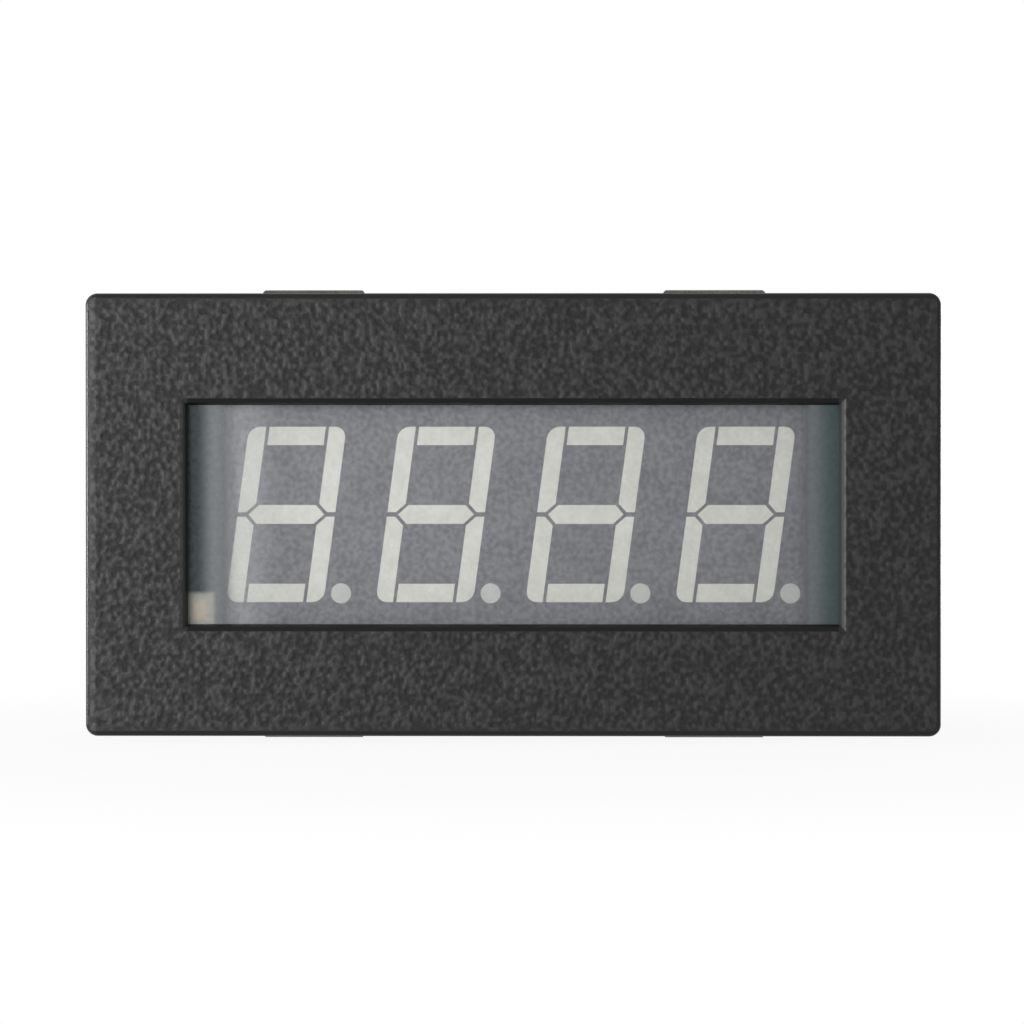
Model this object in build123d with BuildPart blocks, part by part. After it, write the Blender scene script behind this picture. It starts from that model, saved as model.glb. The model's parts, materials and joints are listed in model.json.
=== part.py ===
from build123d import *
import math
import os

os.makedirs("parts", exist_ok=True)

# Frame: X to the right, Y from the front to the back, Z up, in millimetres. The origin is the
# centre of the bezel's rear face, which bears on the panel that the meter snaps into.

# Front case: bezel, and the sleeve that passes through the panel cut-out
cutout_room = 8.85
cutout_height = 33.0
cutout_play = 0.2
bezel_lap = 2.0
bezel_height = 37.3
bezel_depth = 4.0
bezel_corner = 1.0
bezel_edge = 0.4
sleeve_depth = 24.0
sleeve_corner = 1.0
sleeve_lead_in = 0.5
case_wall = 1.5

# Window and its pane
window_end_gap = 2.3
window_height = 18.5
window_lip = 1.2
window_draft = 12.0
window_rim = 0.3
pane_thickness = 1.5
pane_margin = 1.3
pane_play = 0.1

# Display block: four leaning seven-segment digits, each bar a pocket filled with epoxy
digit_count = 4
digit_pitch = 12.7
digit_height = 14.88
digit_width = 8.28
digit_slant = 7.5
digit_shift = -0.21
upright_width = 1.47
bar_height = 1.56
middle_height = 1.6
middle_length = 6.43
segment_gap = 0.28
waist_gap = 0.38
segment_corner = 0.95
segment_corner_steps = 4
point_radius = 0.85
point_gap = 0.53
point_drop = 0.1
display_end_trim = 0.25
display_height = 19.0
display_depth = 8.0
display_clearance = 0.3
display_rim = 0.75
display_foot_height = 1.6
display_foot_length = 3.0
led_board_thickness = 1.6
pin_columns = 6
pin_pitch = 2.54
pin_row_inset = 1.88
pin_side = 0.5
pin_tail = 1.4

# Indicator lamp: a square lamp that stands beside the display, low on the left
lamp_width = 2.5
lamp_height = 2.9
lamp_gap = 0.1
lamp_setback = 1.5
lamp_edge = 0.2
lamp_lead_pitch = 1.27

# Circuit board and its screws
board_thickness = 1.6
board_play = 0.4
hole_play = 0.15
post_side = 5.2
screw_inset = 2.7
pilot_play = 0.02
pilot_spare = 0.8
board_screw_radius = 1.0
board_screw_length = 6.0
board_screw_head_radius = 2.0
board_screw_head_height = 1.4
recess_length = 2.2
recess_width = 0.55
recess_depth = 0.8

# Spring clips, two in the top wall and two in the bottom wall
clip_spacing = 34.4
clip_width = 8.7
clip_thickness = 0.5
clip_stand = 0.4
clip_knee_setback = 4.0
clip_foot_setback = 2.5
clip_bend = 0.6
clip_foot_height = 0.3
clip_ear_reach = 0.8
clip_ear_height = 0.55
clip_ear_play = 0.1
clip_corner = 0.2
clip_root_setback = 3.0
clip_bar_radius = 0.5
clip_bar_depth = 0.95
clip_bar_embed = 0.5
clip_eye_play = 0.05
clip_eye_turn = 200.0
slot_play = 0.3
slot_front = 1.6

# Terminal block: a screw in each pole lifts a cage that clamps the wire under a contact bar
pole_count = 4
pole_pitch = 5.0
terminal_bottom = -5.6
terminal_depth = 8.2
terminal_end_wall = 0.4
terminal_floor = 1.2
terminal_edge = 0.7
entry_wall = 1.2
entry_width = 2.8
groove_width = 0.5
groove_depth = 0.35
cage_width = 3.9
cage_length = 4.2
cage_strip = 0.6
cage_roof = 1.0
cage_play = 0.15
cage_travel = 1.6
cage_setback = 0.3
wire_gap = 2.0
contact_thickness = 0.7
contact_play = 0.2
leg_width = 1.0
leg_setback = 0.5
leg_play = 0.1
leg_tail = 1.0
thread_radius = 1.25
thread_play = 0.05
thread_tail = 0.8
tip_gap = 0.1
shoulder_thickness = 0.7
shank_play = 0.1
head_radius = 1.75
head_height = 1.3
head_play = 0.05
head_sink = 0.5
well_play = 0.2
driver_slot_width = 0.5
driver_slot_depth = 0.7

# Controller chip, about its own place on the back of the board
chip_place = (19.8, 5.2)
chip_length = 10.3
chip_width = 7.5
chip_height = 2.3
chip_standoff = 0.1
chip_edge = 0.25
chip_lead_pairs = 8
chip_lead_pitch = 1.27
chip_lead_width = 0.42
chip_lead_thickness = 0.25
chip_lead_reach = 1.4

# Crystal
crystal_place = (19.8, -3.4)
crystal_length = 11.4
crystal_width = 4.8
crystal_base_height = 0.9
crystal_rim = 0.5
crystal_height = 3.2
crystal_edge = 0.5

# Supply capacitor
capacitor_place = (-18.5, 4.0)
capacitor_radius = 4.0
capacitor_height = 9.0
capacitor_base_side = 8.3
capacitor_base_height = 1.2
capacitor_base_corner = 1.6
capacitor_edge = 0.4

# Voltage regulator
regulator_place = (-18.5, -7.0)
regulator_length = 6.5
regulator_width = 3.5
regulator_height = 1.6
regulator_lead_pitch = 2.3
regulator_lead_width = 0.7
regulator_tab_width = 3.0
regulator_lead_reach = 1.7

# Digit transistors
transistor_height_on_board = -11.4
transistor_pitch = 5.0
transistor_length = 2.9
transistor_width = 1.3
transistor_height = 1.0
transistor_lead_pitch = 1.9
transistor_lead_width = 0.4
transistor_lead_thickness = 0.15
transistor_lead_reach = 0.55

# Input diode
diode_place = (-26.5, -2.8)
diode_length = 4.3
diode_width = 2.6
diode_height = 2.2
diode_tab_width = 1.45
diode_tab_reach = 0.8
diode_tab_thickness = 0.15

# Chip resistors and capacitors
resistor_count = 8
resistor_pitch = 2.5
resistor_height_on_board = 11.6
resistor_size = (1.25, 2.0, 0.5)
resistor_end = 0.4
bypass_places = ((-26.8, 5.0), (-12.6, -12.0), (28.6, 3.6), (28.6, -4.0))
bypass_size = (1.25, 2.0, 1.2)
bypass_end = 0.45

# Trimmer
trimmer_place = (16.8, -10.2)
trimmer_side = 6.6
trimmer_height = 4.6
trimmer_edge = 0.4
rotor_radius = 2.3
rotor_depth = 1.6
rotor_stand = 0.2
rotor_play = 0.05
rotor_slot_length = 3.4
rotor_slot_width = 0.7
rotor_slot_depth = 0.8
trimmer_tab_width = 0.9
trimmer_tab_reach = 0.8
trimmer_tab_thickness = 0.25
trimmer_tab_spacing = 3.8

# Levels along Y, from the front to the back
pane_front = window_lip - bezel_depth
pane_rear = pane_front + pane_thickness
display_front = pane_rear + display_clearance
display_rear = display_front + display_depth
led_board_front = display_rear - led_board_thickness
board_front = display_rear + display_foot_height
board_rear = board_front + board_thickness

# Outlines that follow from the display's width and the cut-out round it
display_width = digit_count * digit_pitch - 2 * display_end_trim
cutout_width = display_width + 2 * cutout_room
bezel_width = cutout_width + 2 * bezel_lap
window_width = display_width + 2 * window_end_gap
sleeve_width = cutout_width - 2 * cutout_play
sleeve_height = cutout_height - 2 * cutout_play
cavity_width = sleeve_width - 2 * case_wall
cavity_height = sleeve_height - 2 * case_wall
pane_width = window_width + 2 * pane_margin
pane_height = window_height + 2 * pane_margin
board_width = cavity_width - 2 * board_play
board_height = cavity_height - 2 * board_play
screw_x = board_width / 2 - screw_inset
screw_rise = board_height / 2 - screw_inset
pin_row_spacing = display_height - 2 * pin_row_inset


def upright(y):
    """Plane parallel to the panel at depth y, facing the front, with X right and Z up."""
    return Plane.XZ.offset(-y)


def spread(count, pitch):
    """Places of a row of equal pitch, centred on zero."""
    return [(index - (count - 1) / 2) * pitch for index in range(count)]


def on_board(x, z, turn=0):
    """Place on the back of the board, turned about the board's normal by an angle in degrees."""
    return Location((x, board_rear, z), (0, turn, 0))


# Digits: corner points of the bars about the digit's centre, before the digit leans
half_width = digit_width / 2
half_height = digit_height / 2
inner_edge = half_width - upright_width
bar_reach = inner_edge - segment_gap
bar_low = half_height - bar_height
middle_reach = middle_length / 2
middle_half = middle_height / 2
bevel = middle_reach + segment_gap * math.sqrt(2)
waist = waist_gap / 2
corner_steps = [step * math.pi / 2 / segment_corner_steps for step in range(segment_corner_steps + 1)]
corner_centre = (half_width - segment_corner, half_height - segment_corner)
outer_corner = [
    (corner_centre[0] + segment_corner * math.cos(turn), corner_centre[1] + segment_corner * math.sin(turn))
    for turn in corner_steps
]
top_bar = [(-bar_reach, half_height), (bar_reach, half_height), (bar_reach, bar_low), (-bar_reach, bar_low)]
bottom_bar = [(across, -up) for across, up in top_bar]
middle_bar = [
    (-middle_reach, 0),
    (middle_half - middle_reach, middle_half),
    (middle_reach - middle_half, middle_half),
    (middle_reach, 0),
    (middle_reach - middle_half, -middle_half),
    (middle_half - middle_reach, -middle_half),
]
upright_bar = [
    (half_width, waist),
    *outer_corner,
    (inner_edge, half_height),
    (inner_edge, bevel - inner_edge),
    (bevel - waist, waist),
]
quarters = [(side, level) for side in (-1, 1) for level in (-1, 1)]
upright_bars = [[(side * across, level * up) for across, up in upright_bar] for side, level in quarters]
digit_bars = [top_bar, middle_bar, bottom_bar, *upright_bars]
digit_centres = [digit_shift + x for x in spread(digit_count, digit_pitch)]


def lean(centre, across, up):
    """Point of a digit on the display's face, moved sideways so that the digit leans to the right."""
    return (centre + across + up * math.tan(math.radians(digit_slant)), up)


point_up = point_radius - point_drop - half_height
point_places = [
    (lean(centre, half_width, point_up)[0] + point_gap + point_radius, point_up) for centre in digit_centres
]


def make_digit(centre):
    """Epoxy of one digit: seven bars, cast down to the LED board."""
    with BuildPart() as digit:
        with BuildSketch(upright(led_board_front)):
            for bar in digit_bars:
                with BuildLine():
                    Polyline(*[lean(centre, across, up) for across, up in bar], close=True)
                make_face()
        extrude(amount=led_board_front - display_front)
    return digit.part


digits = [make_digit(centre) for centre in digit_centres]

with BuildPart() as decimal_points:
    with BuildSketch(upright(led_board_front)):
        with Locations(*point_places):
            Circle(point_radius)
    extrude(amount=led_board_front - display_front)

# Display housing: a block with a pocket for each bar, a recess for the LED board and four feet
with BuildPart() as display_housing:
    with BuildSketch(upright(display_rear)):
        Rectangle(display_width, display_height)
    extrude(amount=display_depth)
    with BuildSketch(upright(display_rear)):
        Rectangle(display_width - 2 * display_rim, display_height - 2 * display_rim)
    extrude(amount=led_board_thickness, mode=Mode.SUBTRACT)
    with BuildSketch(upright(board_front)):
        with GridLocations(display_width - display_rim, display_height - display_foot_length, 2, 2):
            Rectangle(display_rim, display_foot_length)
    extrude(amount=display_foot_height)
    for digit in digits:
        add(digit, mode=Mode.SUBTRACT)
    add(decimal_points.part, mode=Mode.SUBTRACT)

# LED board, in the housing's recess
with BuildPart() as led_board:
    with BuildSketch(upright(display_rear)):
        Rectangle(display_width - 2 * display_rim, display_height - 2 * display_rim)
    extrude(amount=led_board_thickness)

# Display pins, square posts from the LED board's back through the circuit board
with BuildPart() as display_pins:
    with BuildSketch(upright(display_rear)):
        with GridLocations(pin_pitch, pin_row_spacing, pin_columns, 2):
            Rectangle(pin_side, pin_side)
    extrude(amount=display_rear - board_rear - pin_tail)

# Indicator lamp, between the end of the display and a corner post, on two leads through the board
lamp_x = -display_width / 2 - lamp_gap - lamp_width / 2
lamp_z = post_side - cavity_height / 2 + lamp_gap + lamp_height / 2
lamp_lead_places = [(lamp_x, lamp_z + up) for up in spread(2, lamp_lead_pitch)]
with BuildPart() as indicator_lamp:
    with BuildSketch(upright(board_front)):
        with Locations((lamp_x, lamp_z)):
            Rectangle(lamp_width, lamp_height)
    extrude(amount=board_front - display_front - lamp_setback)
    chamfer(indicator_lamp.faces().sort_by(Axis.Y)[0].edges(), length=lamp_edge)
with BuildPart() as indicator_leads:
    with BuildSketch(upright(board_front)):
        with Locations(*lamp_lead_places):
            Rectangle(pin_side, pin_side)
    extrude(amount=-board_thickness - pin_tail)

# Clip profile: bar that carries it, knee that stands above the bezel, foot that hooks into the slot
clip_x = clip_spacing / 2
root_y = sleeve_depth - clip_root_setback
root_z = sleeve_height / 2 - clip_bar_depth
eye_radius = clip_bar_radius + clip_eye_play + clip_thickness / 2
eye_outside = eye_radius + clip_thickness / 2
knee = (clip_knee_setback, bezel_height / 2 + clip_stand)
wall_inside = cavity_height / 2
ear_top = wall_inside - clip_ear_play
foot_bend = (clip_foot_setback, sleeve_height / 2 + clip_foot_height)
foot_end = (clip_foot_setback, ear_top - clip_ear_height)
slot_width = clip_width + 2 * slot_play
slot_rear = root_y + eye_outside + slot_play

# Board screws, in two opposite corners
board_screw_places = [(-screw_x, screw_rise), (screw_x, -screw_rise)]

# Front case
with BuildPart() as front_case:
    with BuildSketch(upright(0)):
        RectangleRounded(bezel_width, bezel_height, bezel_corner)
    extrude(amount=bezel_depth)
    fillet(front_case.faces().sort_by(Axis.Y)[0].edges(), radius=bezel_edge)
    with BuildSketch(upright(sleeve_depth)) as sleeve_outline:
        Rectangle(sleeve_width, sleeve_height)
        chamfer(sleeve_outline.vertices(), length=sleeve_corner)
    extrude(amount=sleeve_depth)
    chamfer(front_case.faces().sort_by(Axis.Y)[-1].edges(), length=sleeve_lead_in)
    with BuildSketch(upright(sleeve_depth)):
        Rectangle(cavity_width, cavity_height)
    extrude(amount=sleeve_depth - pane_rear, mode=Mode.SUBTRACT)
    with BuildSketch(upright(pane_rear)):
        Rectangle(pane_width + 2 * pane_play, pane_height + 2 * pane_play)
    extrude(amount=pane_thickness, mode=Mode.SUBTRACT)
    with BuildSketch(upright(pane_front)):
        Rectangle(window_width, window_height)
    extrude(amount=window_lip, taper=-window_draft, mode=Mode.SUBTRACT)
    chamfer(front_case.faces().sort_by(Axis.Y)[0].inner_wires()[0].edges(), length=window_rim)
    with BuildSketch(upright(board_front)):
        with GridLocations(cavity_width - post_side, cavity_height - post_side, 2, 2):
            Rectangle(post_side, post_side)
    extrude(amount=board_front - pane_rear)
    with BuildSketch(upright(board_front)):
        with Locations(*board_screw_places):
            Circle(board_screw_radius + pilot_play)
    extrude(amount=board_screw_length - board_thickness + pilot_spare, mode=Mode.SUBTRACT)
    with BuildSketch(Plane.XY.offset(-sleeve_height / 2)):
        with Locations((-clip_x, (slot_front + slot_rear) / 2), (clip_x, (slot_front + slot_rear) / 2)):
            Rectangle(slot_width, slot_rear - slot_front)
    extrude(amount=sleeve_height, mode=Mode.SUBTRACT)
    with Locations(*[(side * clip_x, root_y, level * root_z) for side, level in quarters]):
        Cylinder(clip_bar_radius, slot_width + 2 * clip_bar_embed, rotation=(0, 90, 0))

with BuildPart() as window_pane:
    with BuildSketch(upright(pane_rear)):
        Rectangle(pane_width, pane_height)
    extrude(amount=pane_thickness)

# Spring clip of the top wall: an eye curled round its bar, a leaf, a knee and an eared foot
knee_distance = math.dist(knee, (root_y, root_z))
knee_angle = math.atan2(knee[1] - root_z, knee[0] - root_y)
leave_angle = knee_angle - math.acos(eye_radius / knee_distance)
leaf_start = (root_y + eye_radius * math.cos(leave_angle), root_z + eye_radius * math.sin(leave_angle))
with BuildPart() as top_clip:
    with BuildSketch(Plane.YZ):
        with BuildLine():
            CenterArc((root_y, root_z), eye_radius, math.degrees(leave_angle), -clip_eye_turn)
            FilletPolyline(leaf_start, knee, foot_bend, foot_end, radius=clip_bend)
        trace(line_width=clip_thickness)
    extrude(amount=clip_width / 2, both=True)
    knee_top = top_clip.part.bounding_box().max.Z
    with BuildSketch(upright(sleeve_depth)):
        with BuildLine():
            Polyline(
                (-clip_width / 2, 0),
                (-clip_width / 2, knee_top - clip_corner),
                (clip_corner - clip_width / 2, knee_top),
                (clip_width / 2 - clip_corner, knee_top),
                (clip_width / 2, knee_top - clip_corner),
                (clip_width / 2, 0),
                close=True,
            )
        make_face()
    extrude(amount=sleeve_depth, mode=Mode.INTERSECT)
    with Locations((0, clip_foot_setback, ear_top - clip_ear_height / 2)):
        Box(slot_width + 2 * clip_ear_reach, clip_thickness, clip_ear_height)


def make_clip(side, level):
    """Clip at the left or right of the top or bottom wall."""
    with BuildPart() as clip:
        with Locations((side * clip_x, 0, 0)):
            add(top_clip.part)
        if level < 0:
            mirror(about=Plane.XY, mode=Mode.REPLACE)
    return clip.part


# Terminal levels behind the board, and places above the block's wire face
cage_low = terminal_floor + cage_play
contact_low = cage_low + cage_strip + wire_gap
contact_high = contact_low + contact_thickness
screw_tip = contact_high + tip_gap
roof_low = screw_tip + thread_tail
cage_high = roof_low + cage_roof
cell_high = cage_high + cage_travel + cage_play
shoulder_high = cell_high + shoulder_thickness
head_low = shoulder_high + head_play
head_high = head_low + head_height
terminal_high = head_high + head_sink
cell_width = cage_width + 2 * cage_play
cell_bottom = terminal_bottom + entry_wall
terminal_top = terminal_bottom + terminal_depth
cage_bottom = cell_bottom + cage_setback
screw_z = cage_bottom + cage_length / 2
leg_top = terminal_top - leg_setback
leg_z = leg_top - contact_thickness / 2
terminal_width = pole_count * pole_pitch + 2 * terminal_end_wall
pole_places = spread(pole_count, pole_pitch)
contact_width = cage_width - 2 * cage_strip - 2 * contact_play

with BuildPart() as terminal_block:
    with BuildSketch(upright(board_rear)):
        with Locations((0, (terminal_bottom + terminal_top) / 2)):
            Rectangle(terminal_width, terminal_depth)
    extrude(amount=-terminal_high)
    back_edges = terminal_block.faces().sort_by(Axis.Y)[-1].edges().filter_by(Axis.X)
    chamfer(back_edges, length=terminal_edge)
    groove_x = spread(pole_count - 1, pole_pitch)
    with BuildSketch(upright(board_rear + terminal_high)):
        with Locations(*[(x, (terminal_bottom + terminal_top) / 2) for x in groove_x]):
            Rectangle(groove_width, terminal_depth)
    extrude(amount=groove_depth, mode=Mode.SUBTRACT)
    with BuildSketch(Plane.XY.offset(cell_bottom)):
        with Locations(*[(x, board_rear + (terminal_floor + cell_high) / 2) for x in pole_places]):
            Rectangle(cell_width, cell_high - terminal_floor)
    extrude(amount=terminal_depth, mode=Mode.SUBTRACT)
    with BuildSketch(Plane.XY.offset(terminal_bottom)):
        with Locations(*[(x, board_rear + contact_low - wire_gap / 2) for x in pole_places]):
            Rectangle(entry_width, wire_gap)
    extrude(amount=entry_wall, mode=Mode.SUBTRACT)
    with BuildSketch(upright(board_rear + terminal_high)):
        with Locations(*[(x, screw_z) for x in pole_places]):
            Circle(head_radius + well_play)
    extrude(amount=terminal_high - shoulder_high, mode=Mode.SUBTRACT)
    with BuildSketch(upright(board_rear + shoulder_high)):
        with Locations(*[(x, screw_z) for x in pole_places]):
            Rectangle(2 * (thread_radius + shank_play), 2 * (thread_radius + shank_play))
    extrude(amount=shoulder_thickness, mode=Mode.SUBTRACT)
    with BuildSketch(upright(board_rear)):
        with Locations(*[(x, leg_z) for x in pole_places]):
            Rectangle(leg_width + 2 * leg_play, contact_thickness + 2 * leg_play)
    extrude(amount=-terminal_floor, mode=Mode.SUBTRACT)

# Contact: a bar through the cage, bent down into a leg that passes through the floor and the board
with BuildPart() as terminal_contact:
    with BuildSketch(upright(board_rear + contact_high)):
        with Locations((0, (cell_bottom + contact_play + leg_top) / 2)):
            Rectangle(contact_width, leg_top - cell_bottom - contact_play)
    extrude(amount=contact_thickness)
    with BuildSketch(upright(board_rear + contact_low)):
        with Locations((0, leg_z)):
            Rectangle(leg_width, contact_thickness)
    extrude(amount=contact_low + board_thickness + leg_tail)
with BuildPart() as terminal_contacts:
    with Locations(*[(x, 0, 0) for x in pole_places]):
        add(terminal_contact.part)


def make_terminal_screw(x):
    """Slotted screw of one pole, held under the wall of its well by the cage that it lifts."""
    with BuildPart() as screw:
        with BuildSketch(upright(board_rear + head_low)):
            with Locations((x, screw_z)):
                Circle(head_radius)
        extrude(amount=-head_height)
        with BuildSketch(upright(board_rear + head_low)):
            with Locations((x, screw_z)):
                Circle(thread_radius)
        extrude(amount=head_low - screw_tip)
        with BuildSketch(upright(board_rear + head_high)):
            with Locations((x, screw_z)):
                Rectangle(2 * head_radius, driver_slot_width)
        extrude(amount=driver_slot_depth, mode=Mode.SUBTRACT)
    return screw.part


def make_clamp_cage(x):
    """Strip bent into a closed box, with the thread of the pole's screw through its roof."""
    with BuildPart() as cage:
        with BuildSketch(Plane.XY.offset(cage_bottom)):
            with Locations((x, board_rear + (cage_low + cage_high) / 2)):
                Rectangle(cage_width, cage_high - cage_low)
            with Locations((x, board_rear + (cage_low + cage_strip + roof_low) / 2)):
                Rectangle(cage_width - 2 * cage_strip, roof_low - cage_low - cage_strip, mode=Mode.SUBTRACT)
        extrude(amount=cage_length)
        with BuildSketch(upright(board_rear + cage_high)):
            with Locations((x, screw_z)):
                Circle(thread_radius + thread_play)
        extrude(amount=cage_roof, mode=Mode.SUBTRACT)
    return cage.part


# Circuit board
with BuildPart() as circuit_board:
    with BuildSketch(upright(board_rear)):
        Rectangle(board_width, board_height)
        with Locations(*board_screw_places):
            Circle(board_screw_radius + hole_play, mode=Mode.SUBTRACT)
        with GridLocations(pin_pitch, pin_row_spacing, pin_columns, 2):
            Rectangle(pin_side + 2 * hole_play, pin_side + 2 * hole_play, mode=Mode.SUBTRACT)
        with Locations(*lamp_lead_places):
            Rectangle(pin_side + 2 * hole_play, pin_side + 2 * hole_play, mode=Mode.SUBTRACT)
        with Locations(*[(x, leg_z) for x in pole_places]):
            Rectangle(leg_width + 2 * hole_play, contact_thickness + 2 * hole_play, mode=Mode.SUBTRACT)
    extrude(amount=board_thickness)

# Board screws, with cross recesses in their heads
with BuildPart() as board_screws:
    with BuildSketch(upright(board_rear)):
        with Locations(*board_screw_places):
            Circle(board_screw_head_radius)
    extrude(amount=-board_screw_head_height)
    with BuildSketch(upright(board_rear)):
        with Locations(*board_screw_places):
            Circle(board_screw_radius)
    extrude(amount=board_screw_length)
    with BuildSketch(upright(board_rear + board_screw_head_height)):
        with Locations(*board_screw_places):
            Rectangle(recess_length, recess_width)
            Rectangle(recess_width, recess_length)
    extrude(amount=recess_depth, mode=Mode.SUBTRACT)


def make_lead(body_half, rise, reach, thickness, width):
    """Lead that leaves a body's side, bends down and ends in a foot on the board, running along Z."""
    half = thickness / 2
    bend = body_half + reach / 2
    with BuildPart() as lead:
        with BuildSketch(Plane.YZ):
            with BuildLine():
                Polyline(
                    (rise - half, body_half),
                    (rise + half, body_half),
                    (rise + half, bend + half),
                    (thickness, bend + half),
                    (thickness, body_half + reach),
                    (0, body_half + reach),
                    (0, bend - half),
                    (rise - half, bend - half),
                    close=True,
                )
            make_face()
        extrude(amount=width / 2, both=True)
    return lead.part


def make_body(length, width, height, edge, standoff):
    """Moulded package body with bevelled upper edges, resting just off the board."""
    with BuildPart() as body:
        with BuildSketch(upright(standoff)):
            Rectangle(length, width)
        extrude(amount=standoff - height)
        chamfer(body.faces().sort_by(Axis.Y)[-1].edges(), length=edge)
    return body.part


def make_chip(size, end):
    """Ceramic of a chip part standing on the board between its two end caps."""
    across, along, height = size
    with BuildPart() as ceramic:
        with BuildSketch(upright(0)):
            Rectangle(across, along - 2 * end)
        extrude(amount=-height)
    return ceramic.part


def make_chip_ends(size, end):
    """End caps of a chip part."""
    across, along, height = size
    with BuildPart() as caps:
        with BuildSketch(upright(0)):
            with GridLocations(0, along - end, 1, 2):
                Rectangle(across, end)
        extrude(amount=-height)
    return caps.part


def place_copies(piece, places):
    """The same piece at several places, each copy a solid of its own."""
    with BuildPart() as group:
        with Locations(*places):
            add(piece)
    return group.part


# Controller chip
controller_chip = place_copies(
    make_body(chip_length, chip_width, chip_height, chip_edge, chip_standoff), [on_board(*chip_place)]
)
chip_rise = (chip_height + chip_standoff) / 2
chip_lead = make_lead(chip_width / 2, chip_rise, chip_lead_reach, chip_lead_thickness, chip_lead_width)
chip_lead_places = [
    on_board(chip_place[0] + x, chip_place[1], turn)
    for x in spread(chip_lead_pairs, chip_lead_pitch)
    for turn in (0, 180)
]
controller_leads = place_copies(chip_lead, chip_lead_places)

# Crystal: base, and a can with rounded ends
can_length = crystal_length - 2 * crystal_rim
can_width = crystal_width - 2 * crystal_rim
with BuildPart() as crystal_base:
    with BuildSketch(upright(board_rear)):
        with Locations(crystal_place):
            Rectangle(crystal_length, crystal_width)
    extrude(amount=-crystal_base_height)
with BuildPart() as crystal_can:
    with BuildSketch(upright(board_rear + crystal_base_height)):
        with Locations(crystal_place):
            SlotOverall(can_length, can_width)
    extrude(amount=-crystal_height)
    chamfer(crystal_can.faces().sort_by(Axis.Y)[-1].edges(), length=crystal_edge)

# Supply capacitor: square base with two cut corners, and a round can
with BuildPart() as capacitor_base:
    with BuildSketch(upright(board_rear)) as base_outline:
        with Locations(capacitor_place):
            Rectangle(capacitor_base_side, capacitor_base_side)
        chamfer(base_outline.vertices().sort_by(Axis.Y)[-2:], length=capacitor_base_corner)
    extrude(amount=-capacitor_base_height)
with BuildPart() as capacitor_can:
    with BuildSketch(upright(board_rear + capacitor_base_height)):
        with Locations(capacitor_place):
            Circle(capacitor_radius)
    extrude(amount=-capacitor_height)
    chamfer(capacitor_can.faces().sort_by(Axis.Y)[-1].edges(), length=capacitor_edge)

# Voltage regulator: three leads below, a wide tab above
regulator_at = on_board(*regulator_place)
regulator_body = place_copies(
    make_body(regulator_length, regulator_width, regulator_height, chip_edge, chip_standoff), [regulator_at]
)
regulator_rise = (regulator_height + chip_standoff) / 2
regulator_half = regulator_width / 2
regulator_lead = make_lead(
    regulator_half, regulator_rise, regulator_lead_reach, chip_lead_thickness, regulator_lead_width
)
regulator_tab = make_lead(
    regulator_half, regulator_rise, regulator_lead_reach, chip_lead_thickness, regulator_tab_width
)
with BuildPart() as regulator_leads:
    with Locations(regulator_at):
        add(regulator_tab)
    lead_x = [regulator_place[0] + x for x in spread(3, regulator_lead_pitch)]
    with Locations(*[on_board(x, regulator_place[1], 180) for x in lead_x]):
        add(regulator_lead)

# Digit transistors, in a row below the display pins
transistor_x = spread(digit_count, transistor_pitch)
digit_transistors = place_copies(
    make_body(transistor_length, transistor_width, transistor_height, chip_edge, chip_standoff),
    [on_board(x, transistor_height_on_board) for x in transistor_x],
)
transistor_lead = make_lead(
    transistor_width / 2,
    (transistor_height + chip_standoff) / 2,
    transistor_lead_reach,
    transistor_lead_thickness,
    transistor_lead_width,
)
with BuildPart() as transistor_leads:
    with Locations(*[on_board(x, transistor_height_on_board) for x in transistor_x]):
        add(transistor_lead)
    with Locations(
        *[
            on_board(x + shift, transistor_height_on_board, 180)
            for x in transistor_x
            for shift in spread(2, transistor_lead_pitch)
        ]
    ):
        add(transistor_lead)

# Input diode, standing along Z
input_diode = place_copies(
    make_body(diode_width, diode_length, diode_height, chip_edge, chip_standoff), [on_board(*diode_place)]
)
diode_rise = (diode_height + chip_standoff) / 2
diode_tab = make_lead(diode_length / 2, diode_rise, diode_tab_reach, diode_tab_thickness, diode_tab_width)
diode_tabs = place_copies(diode_tab, [on_board(*diode_place, turn) for turn in (0, 180)])

# Chip resistors and capacitors
resistor_places = [on_board(x, resistor_height_on_board) for x in spread(resistor_count, resistor_pitch)]
segment_resistors = place_copies(make_chip(resistor_size, resistor_end), resistor_places)
resistor_ends = place_copies(make_chip_ends(resistor_size, resistor_end), resistor_places)
bypass_at = [on_board(*place) for place in bypass_places]
bypass_capacitors = place_copies(make_chip(bypass_size, bypass_end), bypass_at)
bypass_ends = place_copies(make_chip_ends(bypass_size, bypass_end), bypass_at)

# Trimmer: body with a bore, slotted rotor, and three tabs on the board
with BuildPart() as trimmer_body:
    with Locations(on_board(*trimmer_place)):
        add(make_body(trimmer_side, trimmer_side, trimmer_height, trimmer_edge, 0))
    with BuildSketch(upright(board_rear + trimmer_height)):
        with Locations(trimmer_place):
            Circle(rotor_radius + rotor_play)
    extrude(amount=rotor_depth, mode=Mode.SUBTRACT)
with BuildPart() as trimmer_rotor:
    with BuildSketch(upright(board_rear + trimmer_height + rotor_stand)):
        with Locations(trimmer_place):
            Circle(rotor_radius)
    extrude(amount=rotor_depth + rotor_stand - rotor_play)
    with BuildSketch(upright(board_rear + trimmer_height + rotor_stand)):
        with Locations(trimmer_place):
            Rectangle(rotor_slot_length, rotor_slot_width)
    extrude(amount=rotor_slot_depth, mode=Mode.SUBTRACT)
tab_z = trimmer_side / 2 + trimmer_tab_reach / 2
with BuildPart() as trimmer_tabs:
    with BuildSketch(upright(board_rear)):
        with Locations(
            (trimmer_place[0], trimmer_place[1] + tab_z),
            *[(trimmer_place[0] + x, trimmer_place[1] - tab_z) for x in spread(2, trimmer_tab_spacing)],
        ):
            Rectangle(trimmer_tab_width, trimmer_tab_reach)
    extrude(amount=-trimmer_tab_thickness)

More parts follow.
